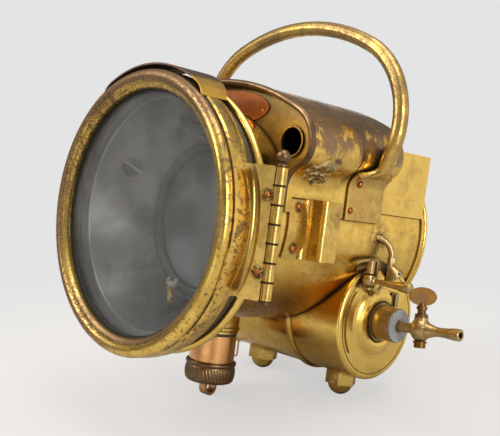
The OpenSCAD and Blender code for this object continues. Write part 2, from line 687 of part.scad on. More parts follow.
// Dished cap: rounded rim, groove, flat field and a raised ring.
module generator_cap() color(brass) placed() {
    turned_x(gen_y, gen_z) {
        wall(gen_in - 1.3, gen_in - gap, gen_right - 12, gen_right);
        difference() {
            union() {
                wall(0, gen_r - 2.75, gen_right, cap_face);
                translate([gen_r - 2.75, gen_right]) intersection() {
                    circle(r = 2.75, $fn = 48);
                    square(5);
                }
            }
            wall(41.2, 42, cap_face - 0.6, cap_face + 1);
        }
    }
    turned_x(gen_y, boss_z) cap_swell();
    // Raised curved bar at the front of the cap, left bare
    translate([cap_face - 0.3, gen_y, gen_z]) rotate([0, 90, 0]) rotate(-128) rotate_extrude(angle = 76)
        translate([34, 0]) square([4.6, 1.5]);
}

module cap_boss() color(brass) placed() turned_x(gen_y, boss_z) {
    wall(0, 15.2, cap_face + 2.65, cap_face + 4.2);
    wall(0, 13.4, cap_face + 4.2, 94.6);
}

module lead_washer() color("#77797a") placed() turned_x(gen_y, boss_z) difference() {
    wall(0, 12.6, 94.6, 96.4);
    wall(0, 4.6, 94, 97);
}

module carbide_door() color(brass) placed() turned_x(gen_y, gen_z) {
    wall(0, gen_r - 0.2, gen_left - 3, gen_left - 1.4);
    translate([gen_r - 1.3, gen_left - 2.6]) circle(r = 1.2, $fn = 32);
    polygon([[0, gen_left - 6], [14, gen_left - 5.6], [30, gen_left - 2.9], [0, gen_left - 2.9]]);
    // Pull knob
    wall(0, 4, gen_left - 12, gen_left - 5);
    translate([0, gen_left - 14]) intersection() {
        circle(r = 7, $fn = 48);
        wall(0, 10, -8, 4);
    }
}

module end_seal() color("#2b2b2b") placed() turned_x(gen_y, gen_z)
    wall(41.6, gen_r - 0.4, gen_left - 1.4, gen_left - 0.3);

// Carbide trough that draws out with its door.
module carbide_basket() color("#8d8a80") placed() difference() {
    turned_x(gen_y, gen_z) {
        wall(38.8, 40, gen_left - 1.4, 15);
        wall(0, 40, 13.8, 15);
    }
    translate([gen_left + 4, gen_y - 60, gen_z + 10]) cube([200, 120, 60]);
    for (i = [0 : 7], a = [-60, -20, 20, 60]) translate([gen_left + 12 + i * 9.6, gen_y, gen_z])
        rotate([a, 0, 0]) translate([0, 0, -50]) cylinder(r = 2, h = 20, $fn = 16);
}

// Gas tap, drawn along +X from its own axis and tilted by tap_rise.
module tap_frame() {
    translate([96.4, gen_y, boss_z]) rotate([0, -tap_rise, 0]) translate([-96.4, 0, 0]) children();
}

module gas_tap_body() color(brass) placed() difference() {
    tap_frame() difference() {
        union() {
            rod_x(5, 95, 97.8);
            rod_x(3.9, 96, tap_x - 4);
            // Bulb round the plug, with a collar on top
            translate([tap_x, 0, 0]) rotate_extrude($fn = 64) intersection() {
                translate([-1.6, 0]) circle(r = 9.8, $fn = 96);
                translate([0, -8.7]) square([20, 17.2]);
            }
            translate([tap_x, 0, 7]) cylinder(r = 5.3, h = 2.4, $fn = 48);
            rotate([0, 90, 0]) rotate_extrude() polygon([[0, tap_x + 3], [5.9, tap_x + 3],
                [5.9, tap_x + 6.4], [5.3, tap_x + 8.4], [4.3, tap_x + 11.4], [3.6, tap_x + 15],
                [3.5, tap_x + 19], [3.8, tap_x + 24], [nozzle_r, tap_x + 29], [nozzle_r, tap_x + 34.2],
                [nozzle_r - 0.4, tap_x + 34.5],
                [0, tap_x + 34.5]]);
        }
        rod_x(2.5, 96, tap_x + 40);
        translate([tap_x, 0, -20]) cylinder(r = plug_r + gap, h = 40, $fn = 64);
    }
    // Seat on the washer
    translate([90, gen_y - 20, boss_z - 20]) cube([6.45, 40, 40]);
}

module tap_plug() color(aged_brass) placed() tap_frame()
translate([tap_x, 0, 0]) rotate(key_turn) difference() {
    union() {
        translate([0, 0, -8.6]) cylinder(r = plug_r, h = 18.6, $fn = 64);
        translate([0, 0, 9.7]) cylinder(r = 4.9, h = 2, $fn = 48);
        translate([0, 0, 11.5]) cylinder(r = 3.2, h = 4, $fn = 48);
        translate([0, 0, 15.2]) cylinder(r = 4.1, h = 2.2, $fn = 48);
        translate([0, 0, 17]) cylinder(r1 = 3.4, r2 = 2.6, h = 3, $fn = 48);
        // Oval thumb piece in line with the plug's bore
        translate([0, 1.8, 25]) rotate([90, 0, 0]) linear_extrude(3.6) ellipse_2d(10.4, 7, 48);
    }
    rod_x(2.2, -6, 6);
}

module tap_nut() color(aged_brass) placed() tap_frame() translate([tap_x, 0, -8.8]) {
    translate([0, 0, -1.2]) cylinder(r = 5.2, h = 1.1, $fn = 48);
    translate([0, 0, -4.8]) cylinder(r = 4.4, h = 3.6, $fn = 48);
}

// Stepped stop on the cap's face, beside the boss.
module cap_lug() color(brass) placed() difference() {
    union() {
        translate([cap_face - 0.5, 211, -51.4]) cube([4.6, 7.4, 11.8]);
        translate([cap_face - 0.5, 213.4, -50.6]) cube([6, 4.2, 10.2]);
    }
    turned_x(gen_y, boss_z) cap_swell(gap);
    turned_x(gen_y, boss_z) wall(0, 15.3, cap_face, 96);
    translate([0, gen_y, gen_z]) rod_x(gen_r, 0, cap_face + 0.02);
}

// Clamp lever: its upright pin, and the length of its arm
lever_pivot = [80.6, 176.2, -30.4];
lever_len = 40;

// Bracket on the drum that arches over the top of the generator's cap.
module yoke() color(aged_brass) placed() difference() {
    arch = [[158, -17], [162, -15.4], [168, -14.4], [178, -13.6], [186, -14], [192, -16.2], [197, -20]];
    union() {
        translate([66, 0, 0]) rotate([90, 0, 90]) linear_extrude(15.4)
            polygon(concat(arch, [for (p = back_order(arch)) p - [0, 1.9]]));
        // Clip that hangs in front of the cap
        translate([79.6, 0, 0]) rotate([90, 0, 90]) linear_extrude(1.8) difference() {
            polygon([[182.4, -14.6], [190, -16], [200.6, -28.6], [188.2, -41.6], [182.4, -36.4]]);
            polygon([[184.8, -22.4], [188, -21], [196.8, -28.8], [188, -38], [184.8, -35]]);
        }
        // Pin of the lever
        translate([lever_pivot[0], lever_pivot[1], 0]) {
            translate([0, 0, -36.8]) cylinder(r = 1.8, h = 21, $fn = 48);
            translate([0, 0, -25]) cylinder(r = 3.2, h = 10, $fn = 48);
            translate([0, 0, -37.4]) cylinder(r = 2.8, h = 1.4, $fn = 48);
        }
    }
    translate([0, 0, drum_z]) rod_y(drum_r + gap, 150, 240);
    translate([0, gen_y, gen_z]) rod_x(gen_r + 0.1, 0, cap_face + 0.3);
}

// Clamp lever with a ball end; it swings forward round its pin.
module clamp_lever() color(aged_brass) placed() translate(lever_pivot) difference() {
    union() {
        intersection() {
            sphere(r = 5.2, $fn = 64);
            translate([-6, -6, -5]) cube([12, 12, 10]);
        }
        rotate([0, 90, 0]) rotate_extrude($fn = 48) polygon([[0, 0], [2.4, 3.6], [3.3, 4.8], [3.2, 5.8],
            [2.1, 6.4], [2, 9], [2.9, 26], [3.9, 31], [4.3, 35], [3.8, 38], [2.4, 39.6],
            [0, lever_len]]);
    }
    cylinder(r = 1.85, h = 20, center = true, $fn = 48);
}

// Bell of the drip valve: a short neck, and a cone turned outward with a breather hole.
module valve_body() color(brass) placed() translate([pipe_end[0], pipe_end[1], 0]) difference() {
    union() {
        translate([0, 0, -20]) cylinder(r = 2.3, h = 3.05, $fn = 48);
        translate([0, 0, -18.6]) rotate([0, 0, pipe_turn]) rotate([0, -32, 0]) rotate_extrude($fn = 64)
            polygon([[0, 0.4], [2.2, 0.4], [3, -0.6], [4.2, -2.6], [5.8, -4.8], [6.9, -6.8], [7.3, -8.6],
                [7, -10], [0, -10]]);
    }
    translate([0, 0, -18.6]) rotate([0, 0, pipe_turn]) rotate([0, -32, 0]) rotate([0, 0, -62])
        translate([4, 0, -6.8]) rotate([0, 90, 0]) cylinder(r = 0.9, h = 6, $fn = 24);
}

module valve_nut() color(brass) placed() translate([pipe_end[0], pipe_end[1], -16.9]) difference() {
    union() {
        cylinder(r = 2.7, h = 1.2, $fn = 48);
        translate([0, 0, 1.2]) cylinder(r = 3.4, h = 4.4, $fn = 6);
    }
    translate([0, 0, 5]) cylinder(r = pipe_r + gap, h = 8, $fn = 48);
}

module gas_pipe() color(brass) placed() {
    translate(pipe_start) rotate([0, 0, pipe_turn]) {
        translate([-6, 0, 0]) rotate([0, 90, 0]) cylinder(r = pipe_r, h = 6 + pipe_run, $fn = 48);
        translate([pipe_run, 0, -pipe_bend]) rotate([90, 0, 0]) intersection() {
            rotate_extrude() translate([pipe_bend, 0]) circle(r = pipe_r, $fn = 48);
            translate([0, 0, -10]) cube([40, 40, 20]);
        }
        translate([pipe_run + pipe_bend, 0, -pipe_bend - 0.6]) cylinder(r = pipe_r, h = 0.6, $fn = 48);
    }
}

// Acorn nuts that close the generator's drain holes and serve as rear feet.
module feet() color(brass) placed() for (s = [-1, 1]) translate([s * foot_x, gen_y, 0]) difference() {
    union() {
        translate([0, 0, foot_z - 1.2]) cylinder(r = 13.1, h = 14, $fn = 6);
        translate([0, 0, foot_z]) sphere(r = foot_ball, $fn = 64);
    }
    translate([-s * foot_x, 0, gen_z]) rod_x(gen_r + gap, -90, 90);
}

filter_top = -89.8;
filter_cap_top = -114;
filter_cap_low = -131.4;
module filter_socket() color(brass) placed() translate([filter_x, filter_y, 0]) difference() {
    rotate_extrude() polygon([[0, -58], [13, -58], [15, -68], [18, -71], [19, -74.6], [19, filter_top + 5.2],
        [20.2, filter_top + 4.8], [20.2, filter_top + 2.9], [18.4, filter_top + 2.5],
        [18.4, filter_top + 1.9],
        [19, filter_top + 1.7], [19, filter_top], [0, filter_top]]);
    translate([-filter_x, -filter_y, drum_z]) rod_y(drum_r + gap, 90, 160);
    translate([0, 0, -100]) cylinder(r = 5, h = 50, $fn = 48);
}

module filter_seal() color("#2b2b2b") placed()
translate([filter_x, filter_y, filter_top - 2.4]) difference() {
    cylinder(r = filter_r - 0.2, h = 2.35);
    translate([0, 0, -1]) cylinder(r = 12, h = 6);
}

module filter_tube() color(copper) placed() translate([filter_x, filter_y, 0]) rotate_extrude() {
    wall(filter_r - 1.2, filter_r, filter_cap_low + 9.8, filter_top - 2.45);
    wall(12, filter_r, filter_top - 3.65, filter_top - 2.45);
}

module filter_cap() color(aged_brass) placed() translate([filter_x, filter_y, 0]) difference() {
    rotate_extrude() polygon([[0, filter_cap_low], [17, filter_cap_low], [19.4, filter_cap_low + 1.6],
        [20.9, filter_cap_low + 4.4], [20.9, filter_cap_top - 2.6], [20.2, filter_cap_top - 2.2],
        [20.2, filter_cap_top - 1.6], [20.9, filter_cap_top - 1.2], [20.6, filter_cap_top],
        [filter_r + gap, filter_cap_top], [filter_r + gap, filter_cap_low + 9.4],
        [0, filter_cap_low + 9.4]]);
    // Knurl
    for (i = [0 : 35]) rotate(i * 10) translate([21.5, 0, filter_cap_low + 3])
        cylinder(r = 1.1, h = 11, $fn = 16);
}

// Strap bent to a loop under the cap, the third point that the lamp stands on.
module filter_loop() color(copper) placed() translate([filter_x, filter_y, loop_z]) difference() {
    union() {
        rod_x(loop_r, -loop_w / 2, loop_w / 2);
        translate([-loop_w / 2, -loop_r, 0]) cube([loop_w, 2 * loop_r, filter_cap_low - loop_z - 0.02]);
    }
    rod_x(loop_r - 2.2, -10, 10);
    translate([-10, -loop_r + 2.2, 0]) cube([20, 2 * loop_r - 4.4, 30]);
}

// Wire eye under the charging end.
module staple() color(brass) placed() difference() {
    translate([-68.9, 188, -121.2]) {
        for (x = [-2.2, 2.2]) translate([x, 0, 0]) cylinder(r = 0.8, h = 14, $fn = 24);
        rotate([90, 0, 0]) intersection() {
            rotate_extrude($fn = 48) translate([2.2, 0]) circle(r = 0.8, $fn = 24);
            translate([-5, -10, -5]) cube(10);
        }
    }
    generator_space();
    turned_x(gen_y, gen_z) translate([gen_r - 0.4, gen_left + 1.4]) circle(r = 1.45, $fn = 32);
}

lamp_drum();
front_rim();
rim_flare();
rear_cover();
canopy();
canopy_lip();
vent_panel();
back_panel();
name_plate();
rear_shroud();
filler_neck();
filler_cap();
handle();
handle_rivets();
fork_sockets();
socket_rivets();
hinge_body_leaf();
hinge_pin();
hinge_door_leaf();
leaf_rivets();
door_bezel();
door_hood();
front_glass();
glass_gasket();
glass_ring();
door_tab();
catch_spring();
reflector();
round_mirror();
mirror_ring();
burner_arm();
burner_tips();
generator_shell();
generator_cap();
cap_boss();
lead_washer();
carbide_door();
end_seal();
carbide_basket();
gas_tap_body();
tap_plug();
tap_nut();
cap_lug();
yoke();
clamp_lever();
valve_body();
valve_nut();
gas_pipe();
feet();
filter_socket();
filter_seal();
filter_tube();
filter_cap();
filter_loop();
staple();
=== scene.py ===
import math
import bmesh
import bpy
from mathutils import Matrix, Vector
from mathutils import noise as field


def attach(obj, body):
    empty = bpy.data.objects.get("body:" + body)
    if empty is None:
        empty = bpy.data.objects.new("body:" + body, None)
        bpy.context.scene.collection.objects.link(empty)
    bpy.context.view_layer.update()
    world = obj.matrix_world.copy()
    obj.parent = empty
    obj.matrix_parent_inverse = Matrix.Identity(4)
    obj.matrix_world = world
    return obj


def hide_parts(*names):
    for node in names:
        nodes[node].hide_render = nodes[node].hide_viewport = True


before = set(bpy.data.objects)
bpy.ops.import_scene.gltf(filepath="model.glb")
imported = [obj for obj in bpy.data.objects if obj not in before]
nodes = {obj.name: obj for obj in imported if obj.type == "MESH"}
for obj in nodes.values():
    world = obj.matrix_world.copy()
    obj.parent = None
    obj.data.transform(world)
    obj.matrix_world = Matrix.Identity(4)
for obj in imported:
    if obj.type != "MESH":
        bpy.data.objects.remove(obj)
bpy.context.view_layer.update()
print("loaded", len(nodes), "nodes")

# The lamp's own axes, in millimetres: X to the right as seen from the front, Y to the rear, Z up. The origin
# is on the door's axis, about 4 mm ahead of its ring. The lamp leans back and stands on two domed feet.
stance = {
    "lean": math.radians(10),
    "centreX": 18.93,
    "centreY": 121.9,
    "footY": 200.6,
    "footDepth": 118.8,
    "footBall": 10.2,
}
lean = stance["lean"]
floorDrop = stance["footDepth"] * math.cos(lean) + stance["footY"] * math.sin(lean) + stance["footBall"]
lampToRow = (
    Matrix.Scale(0.001, 4)
    @ Matrix.Translation((-stance["centreX"], -stance["centreY"], floorDrop))
    @ Matrix.Rotation(-lean, 4, "X")
)


def lamp(x, y, z):
    return lampToRow @ Vector((x, y, z))


def setInputs(node, values):
    for key, value in values.items():
        node.inputs[key].default_value = value


def addNode(tree, kind, inputs=None, **settings):
    node = tree.nodes.new(kind)
    for key, value in settings.items():
        setattr(node, key, value)
    setInputs(node, inputs or {})
    return node


# A math node whose inputs are numbers or other nodes' outputs.
def calc(tree, operation, a, b=0.0, clamp=False):
    node = addNode(tree, "ShaderNodeMath", operation=operation, use_clamp=clamp)
    for socket, value in zip(node.inputs, (a, b)):
        if hasattr(value, "links"):
            tree.links.new(value, socket)
        else:
            socket.default_value = value
    return node.outputs[0]


def times(tree, first, *others):
    for other in others:
        first = calc(tree, "MULTIPLY", first, other)
    return first


def plus(tree, a, b):
    return calc(tree, "ADD", a, b)


# How far a value is from a number, on either side.
def offset(tree, value, middle):
    return calc(tree, "ABSOLUTE", calc(tree, "SUBTRACT", value, middle))


def mixColour(tree, factor, a, b):
    node = addNode(tree, "ShaderNodeMix", data_type="RGBA")
    for socket, value in ((node.inputs[0], factor), (node.inputs[6], a), (node.inputs[7], b)):
        if hasattr(value, "links"):
            tree.links.new(value, socket)
        elif isinstance(value, tuple):
            socket.default_value = (*value, 1)
        else:
            socket.default_value = value
    return node.outputs[2]


# Smooth step from one range to another; the first range may run downwards.
def remap(tree, value, low, high, toLow=0.0, toHigh=1.0):
    ends = {1: low, 2: high, 3: toLow, 4: toHigh}
    node = addNode(tree, "ShaderNodeMapRange", ends, interpolation_type="SMOOTHSTEP")
    tree.links.new(value, node.inputs[0])
    return node.outputs[0]


def vectorMath(tree, operation, vector, value=None):
    node = addNode(tree, "ShaderNodeVectorMath", {1: value} if value else {}, operation=operation)
    tree.links.new(vector, node.inputs[0])
    return node.outputs["Value" if operation in ("LENGTH", "DOT_PRODUCT") else "Vector"]


def noise(tree, vector, scale, detail=3.0, rough=0.55, distortion=0.0):
    values = {"Scale": scale, "Detail": detail, "Roughness": rough, "Distortion": distortion}
    node = addNode(tree, "ShaderNodeTexNoise", values)
    tree.links.new(vector, node.inputs["Vector"])
    return node.outputs["Fac"]


def newGroup(name, inputs, outputs):
    group = bpy.data.node_groups.new(name, "ShaderNodeTree")
    for label, kind in inputs:
        group.interface.new_socket(name=label, in_out="INPUT", socket_type=kind)
    for label, kind in outputs:
        group.interface.new_socket(name=label, in_out="OUTPUT", socket_type=kind)
    return group, group.nodes.new("NodeGroupInput"), group.nodes.new("NodeGroupOutput")


# Object coordinates turned back to the lamp's own axes, in millimetres.
def makeLampSpace():
    vector = [("Vector", "NodeSocketVector")]
    group, gin, gout = newGroup("lampSpace", vector, vector)
    scaled = vectorMath(group, "MULTIPLY", gin.outputs[0], (1000, 1000, 1000))
    moved = vectorMath(group, "ADD", scaled, (stance["centreX"], stance["centreY"], -floorDrop))
    turn = addNode(group, "ShaderNodeVectorRotate", {"Angle": lean, "Axis": (1, 0, 0)},
                   rotation_type="AXIS_ANGLE")
    group.links.new(moved, turn.inputs["Vector"])
    group.links.new(turn.outputs[0], gout.inputs[0])
    return group


# Masks and height of old sheet metal from a position in millimetres.
def makeAgeing():
    labels = ("Patch", "Mottle", "Specks", "Scratches", "Grain", "Height", "CornerShadeAndDirt")
    group, gin, gout = newGroup(
        "ageing",
        [("Vector", "NodeSocketVector"), ("Seed", "NodeSocketFloat")],
        [(label, "NodeSocketFloat") for label in labels],
    )
    seed = addNode(group, "ShaderNodeCombineXYZ")
    for i in range(3):
        group.links.new(gin.outputs["Seed"], seed.inputs[i])
    moved = addNode(group, "ShaderNodeVectorMath", operation="ADD")
    group.links.new(gin.outputs["Vector"], moved.inputs[0])
    group.links.new(seed.outputs[0], moved.inputs[1])
    at = moved.outputs[0]
    patch = remap(group, noise(group, at, 0.028, 5.0, 0.62, 0.6), 0.5, 0.68)
    uneven = noise(group, at, 0.13, 6.0, 0.68, 0.4)
    mottle = remap(group, uneven, 0.34, 0.68)
    cluster = remap(group, noise(group, at, 0.055, 3.0, 0.6), 0.44, 0.66)
    specks = times(group, remap(group, noise(group, at, 1.3, 3.0, 0.6), 0.615, 0.70), cluster)
    stretched = vectorMath(group, "MULTIPLY", at, (1.1, 0.06, 0.35))
    scratches = remap(group, noise(group, stretched, 2.2, 2.0, 0.5), 0.55, 0.75)
    grain = remap(group, noise(group, at, 0.75, 5.0, 0.7), 0.42, 0.58)
    wavy = noise(group, at, 0.06, 2.0, 0.5)
    height = plus(group, times(group, wavy, 0.25), times(group, uneven, 0.07))
    height = calc(group, "SUBTRACT", height, times(group, specks, 0.10))
    height = calc(group, "SUBTRACT", height, times(group, scratches, 0.015))
    # Painted shade from ambient occlusion near corners and joints, which also stands for dirt gathered there
    occlusion = addNode(group, "ShaderNodeAmbientOcclusion", {"Distance": 0.006}, samples=6)
    broken = plus(group, occlusion.outputs["AO"], times(group, uneven, 0.25))
    cornerShadeAndDirt = remap(group, broken, 0.90, 0.60)
    for label, value in zip(labels, (patch, mottle, specks, scratches, grain, height, cornerShadeAndDirt)):
        group.links.new(value, gout.inputs[label])
    return group


lampSpace = makeLampSpace()
ageing = makeAgeing()


def startMaterial(name):
    material = bpy.data.materials.new(name)
    material.use_nodes = True
    tree = material.node_tree
    tree.nodes.clear()
    output = tree.nodes.new("ShaderNodeOutputMaterial")
    shader = tree.nodes.new("ShaderNodeBsdfPrincipled")
    tree.links.new(shader.outputs[0], output.inputs[0])
    coords = tree.nodes.new("ShaderNodeTexCoord")
    space = addNode(tree, "ShaderNodeGroup", node_tree=lampSpace)
    tree.links.new(coords.outputs["Object"], space.inputs[0])
    return material, tree, shader, space.outputs[0]


def addBump(tree, shader, height, strength, depth):
    bump = addNode(tree, "ShaderNodeBump", {"Strength": strength, "Distance": depth})
    tree.links.new(height, bump.inputs["Height"])
    tree.links.new(bump.outputs[0], shader.inputs["Normal"])


# Distance from a point or, with an axis, from a straight line through it.
def distance(tree, at, point, axis=None):
    delta = vectorMath(tree, "SUBTRACT", at, point)
    if axis:
        delta = vectorMath(tree, "MULTIPLY", delta, tuple(1 - a for a in axis))
    return vectorMath(tree, "LENGTH", delta)


# Distance from the lamp's own axis.
def radius(tree, at):
    return distance(tree, at, (0, 0, 0), (0, 1, 0))


def split(tree, at):
    parts = addNode(tree, "ShaderNodeSeparateXYZ")
    tree.links.new(at, parts.inputs[0])
    return parts.outputs


# One inside the first distance, fading to zero at the second.
def near(tree, at, point, inner, outer, axis=None):
    return remap(tree, distance(tree, at, point, axis), outer, inner)


# A value shifted by noise, which gives a mask made from it a ragged edge.
def ragged(tree, at, value, scale, amount):
    return plus(tree, value, times(tree, noise(tree, at, scale, 6.0, 0.68, 0.6), amount))


def soft(tree, mask, strength):
    return calc(tree, "MULTIPLY", mask, strength, True)


# Old metal: bright and deep tones mottled together, tarnish in patches, its own stains and specks, and
# painted shade in corners and joints that also stands for the dirt there.
# Each stain is a mask, a colour and the roughness that it adds.
def oldMetal(name, bright, deep, tarnish, seed=0.0, patch=0.5, specks=0.8, rough=0.2, bump=0.35,
             mottle=0.7, stains=None):
    material, tree, shader, at = startMaterial(name)
    age = addNode(tree, "ShaderNodeGroup", node_tree=ageing)
    age.inputs["Seed"].default_value = seed
    tree.links.new(at, age.inputs["Vector"])
    out = age.outputs
    colour = mixColour(tree, times(tree, out["Mottle"], mottle), bright, deep)
    cover = soft(tree, out["Patch"], patch)
    cover = soft(tree, cover, plus(tree, times(tree, out["Mottle"], 0.5), 0.6))
    colour = mixColour(tree, cover, colour, tarnish)
    roughness = plus(tree, times(tree, out["Mottle"], 0.08), rough)
    roughness = plus(tree, roughness, times(tree, cover, 0.2))
    for mask, tone, added in stains(tree, at, out) if stains else ():
        colour = mixColour(tree, mask, colour, tone)
        roughness = plus(tree, roughness, times(tree, mask, added))
    dark = soft(tree, out["Specks"], specks)
    # Painted shade from ambient occlusion, which also stands for dirt in corners, joins the specks in the
    # dark mix.
    dark = calc(tree, "MAXIMUM", dark, times(tree, out["CornerShadeAndDirt"], 0.85))
    colour = mixColour(tree, dark, colour, pitBlack)
    colour = mixColour(tree, times(tree, out["Scratches"], 0.12), colour, bright)
    tree.links.new(colour, shader.inputs["Base Color"])
    roughness = calc(tree, "ADD", roughness, times(tree, dark, 0.3), True)
    tree.links.new(roughness, shader.inputs["Roughness"])
    shader.inputs["Metallic"].default_value = 1.0
    addBump(tree, shader, out["Height"], bump, 0.0012)
    return material


# A quiet surface with a fine grain in colour and height.
def plainGrain(name, colour, rough, metallic=0.0, scale=0.6, bump=0.1):
    material, tree, shader, at = startMaterial(name)
    grain = noise(tree, at, scale, 4.0, 0.6)
    dark = tuple(c * 0.55 for c in colour)
    tree.links.new(mixColour(tree, remap(tree, grain, 0.3, 0.7), dark, colour), shader.inputs["Base Color"])
    tree.links.new(remap(tree, grain, 0.3, 0.7, rough - 0.08, rough + 0.1), shader.inputs["Roughness"])
    shader.inputs["Metallic"].default_value = metallic
    addBump(tree, shader, grain, bump, 0.0004)
    return material


pitBlack = (0.03, 0.018, 0.012)
brightBrass = (0.87, 0.59, 0.148)
deepBrass = (0.70, 0.405, 0.062)
orangeBrass = (0.46, 0.195, 0.012)
brownBrass = (0.23, 0.125, 0.05)
purpleBrown = (0.17, 0.095, 0.06)
# Painted shade for the lamp's inside behind the glass.
behindGlassShade = (0.055, 0.06, 0.066)

# Places and sizes on the lamp's own axes that the stains keep to; wire is a direction.
marks = {
    "generator": (0, 200.6, -64),
    "generatorR": 46.7,
    "beadX": 22.6,
    "drum": (0, 0, 5),
    "drumR": 78.0,
    "pipe": (77.6, 184, 3),
    "port": (-66, 50, 34),
    "portR": 8.2,
    "wire": (0.45, 0.3, 0.84),
    "reflectorR": 82.8,
    "spigotR": 94.1,
    "grooveY": 12.1,
    "pitsR": 91.9,
    "hinge": (111, 36.3, 0),
    "hingeLow": -42.6,
    "knuckle": 12.0,
    "rivets": ((80.3, 90, 18.4), (78.5, 90, -10.8), (107.4, 30.4, 23.1), (107.0, 30.2, -25.2)),
}


# Canopy: brown crown with light streaks along it, purple-brown shoulder with a ragged edge.
def canopyStains(tree, at, out):
    z = split(tree, at)[2]
    crown = remap(tree, ragged(tree, at, z, 0.05, 34.0), 108.0, 118.0)
    side = remap(tree, ragged(tree, at, z, 0.035, 70.0), 90.0, 100.0)
    stretched = vectorMath(tree, "MULTIPLY", at, (0.35, 0.035, 0.35))
    streak = remap(tree, noise(tree, stretched, 1.0, 5.0, 0.65, 0.4), 0.45, 0.56)
    worn = remap(tree, noise(tree, at, 0.075, 5.0, 0.65, 0.5), 0.56, 0.63)
    base = remap(tree, ragged(tree, at, z, 0.08, 16.0), 36.0, 24.0)
    unworn = calc(tree, "SUBTRACT", 1.0, worn)
    return [
        (soft(tree, times(tree, side, unworn), 0.9), (0.25, 0.15, 0.098), 0.14),
        (soft(tree, crown, 0.85), (0.25, 0.185, 0.135), 0.26),
        (soft(tree, times(tree, crown, streak), 0.8), (0.62, 0.55, 0.44), 0.05),
        (soft(tree, base, 0.35), brownBrass, 0.1),
    ]


# Door ring: film and brown grain on its bead, fine lines on the lip and a dark edge at the glass, spots on
# the right, pits below, blotches on the skirt, dirt in the groove and painted shade on the metal behind the
# glass.
def doorStains(tree, at, out):
    x, y, z = split(tree, at)
    r = radius(tree, at)
    front = remap(tree, y, 14.0, 12.0)
    back = remap(tree, y, 12.5, 14.0)
    lip = times(tree, remap(tree, r, 91.8, 91.0), front)
    left = remap(tree, ragged(tree, at, x, 0.02, 90.0), 70.0, 0.0)
    right = remap(tree, x, 20.0, 60.0)
    upper = remap(tree, ragged(tree, at, z, 0.03, 40.0), 60.0, 92.0)
    lower = remap(tree, z, -48.0, -80.0)
    film = times(tree, front, calc(tree, "MAXIMUM", upper, soft(tree, left, 0.8)))
    film = times(tree, film, remap(tree, r, 91.2, 92.4))
    grainy = times(tree, front, calc(tree, "MAXIMUM", left, soft(tree, upper, 0.8)), out["Grain"])
    lines = remap(tree, calc(tree, "PINGPONG", r, 0.45), 0.20, 0.05)
    olive = times(tree, remap(tree, ragged(tree, at, r, 0.2, 0.8), 88.3, 87.4), front)
    blotch = remap(tree, noise(tree, at, 0.085, 6.0, 0.7, 0.8), 0.53, 0.58)
    blotch = times(tree, blotch, calc(tree, "MAXIMUM", back, remap(tree, z, -30.0, 30.0)))
    spots = times(tree, remap(tree, noise(tree, at, 0.30, 4.0, 0.6, 0.4), 0.56, 0.61), right)
    pits = remap(tree, noise(tree, at, 0.5, 4.0, 0.62, 0.5), 0.50, 0.57)
    row = remap(tree, offset(tree, ragged(tree, at, r, 0.3, 1.2), marks["pitsR"]), 1.6, 0.6)
    groove = remap(tree, offset(tree, y, marks["grooveY"]), 1.0, 0.5)
    groove = times(tree, groove, remap(tree, r, 97.0, 98.0))
    groove = times(tree, groove, remap(tree, noise(tree, at, 0.05, 4.0, 0.6), 0.36, 0.5))
    # Painted shade: the metal behind the glass is coloured dark grey.
    shadedInside = times(tree, remap(tree, r, 94.4, 93.6), remap(tree, y, 12.6, 13.6))
    return [
        (soft(tree, film, 0.85), (0.21, 0.125, 0.08), 0.16),
        (soft(tree, grainy, 0.88), (0.10, 0.058, 0.032), 0.3),
        (soft(tree, times(tree, lip, lines), 0.4), brownBrass, 0.05),
        (soft(tree, times(tree, lip, lower), 0.85), (0.17, 0.10, 0.06), 0.2),
        (soft(tree, spots, 0.75), purpleBrown, 0.2),
        (soft(tree, blotch, 0.8), purpleBrown, 0.18),
        (soft(tree, times(tree, pits, row, lower), 0.9), pitBlack, 0.3),
        (soft(tree, olive, 0.85), (0.05, 0.038, 0.012), 0.15),
        (soft(tree, groove, 0.9), pitBlack, 0.3),
        (soft(tree, shadedInside, 0.92), behindGlassShade, 0.25),
    ]


# Front rim: painted shade darkens the spigot behind the glass.
def rimStains(tree, at, out):
    y = split(tree, at)[1]
    shadedInside = remap(tree, radius(tree, at), marks["spigotR"] + 0.6, marks["spigotR"])
    shadedInside = times(tree, shadedInside, remap(tree, y, 46.0, 44.0))
    return [(soft(tree, shadedInside, 0.92), behindGlassShade, 0.25)]


# Drum: dark seam against the generator, smear round the pipe, orange reflection low down.
def drumStains(tree, at, out):
    seam = near(tree, at, marks["generator"], marks["generatorR"], marks["generatorR"] + 1.9, (1, 0, 0))
    smear = near(tree, at, marks["pipe"], 4.0, 17.0)
    smear = times(tree, smear, remap(tree, noise(tree, at, 0.16, 5.0, 0.7, 0.6), 0.40, 0.55))
    z = split(tree, at)[2]
    low = remap(tree, ragged(tree, at, z, 0.03, 40.0), 4.0, -30.0)
    return [
        (soft(tree, low, 0.8), orangeBrass, 0.0),
        (soft(tree, smear, 0.8), purpleBrown, 0.2),
        (soft(tree, seam, 0.7), pitBlack, 0.2),
    ]


# Generator shell: dark seam along the drum, brown bead, orange reflection near the top.
def shellStains(tree, at, out):
    seam = near(tree, at, marks["drum"], marks["drumR"], marks["drumR"] + 1.6, (0, 1, 0))
    parts = split(tree, at)
    bead = remap(tree, offset(tree, parts[0], marks["beadX"]), 4.6, 2.6)
    top = remap(tree, ragged(tree, at, parts[2], 0.03, 30.0), -62.0, -36.0)
    return [
        (soft(tree, top, 0.75), orangeBrass, 0.0),
        (soft(tree, bead, 0.25), brownBrass, 0.05),
        (soft(tree, seam, 0.7), pitBlack, 0.2),
    ]
